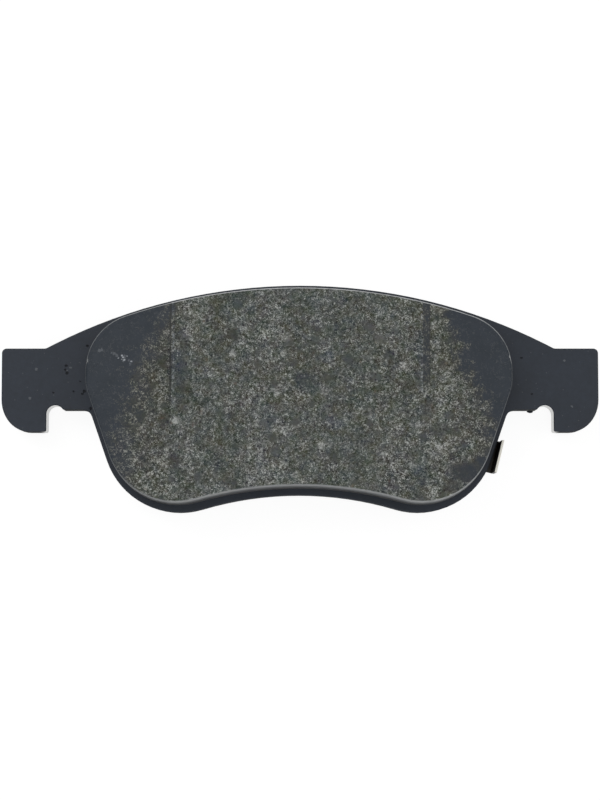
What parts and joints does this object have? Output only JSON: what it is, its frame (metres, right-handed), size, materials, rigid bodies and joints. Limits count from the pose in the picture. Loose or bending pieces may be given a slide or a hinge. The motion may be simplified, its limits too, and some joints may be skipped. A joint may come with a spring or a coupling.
{
  "type": "brake pad",
  "caption": "Disc brake pad: steel backing plate with hooked ears, bonded friction block with chamfered ends, laminated noise shim and riveted wear indicator.",
  "frame": {"origin": "middle of the outline at the shim's outer face", "axes": "+Z out of the friction face towards the disc, +Y towards the disc's rim, +X along the ears"},
  "size_m": [0.155, 0.059, 0.0189],
  "materials": {
    "backing_plate": "satin black powder coat over steel",
    "bonding_adhesive": "cured phenolic film",
    "underlayer": "moulded fibre and resin mix, matte",
    "friction_block": "ground metal-fibre compound, matte with bright grains",
    "shim_adhesive": "pressure-sensitive adhesive",
    "shim_inner_rubber": "nitrile rubber coat, matte",
    "shim_steel_core": "cold-rolled steel sheet",
    "shim_outer_rubber": "nitrile rubber coat, matte",
    "wear_indicator": "blackened spring steel with a bare sheared tip",
    "wear_indicator_rivet": "zinc-plated steel"
  },
  "bodies": {
    "root": {"backing_plate": "backing_plate", "bonding_adhesive": "bonding_adhesive", "underlayer": "underlayer", "friction_block": "friction_block", "shim_adhesive": "shim_adhesive", "shim_inner_rubber": "shim_inner_rubber", "shim_steel_core": "shim_steel_core", "shim_outer_rubber": "shim_outer_rubber", "wear_indicator": "wear_indicator", "wear_indicator_rivet": "wear_indicator_rivet"}
  },
  "joints": []
}
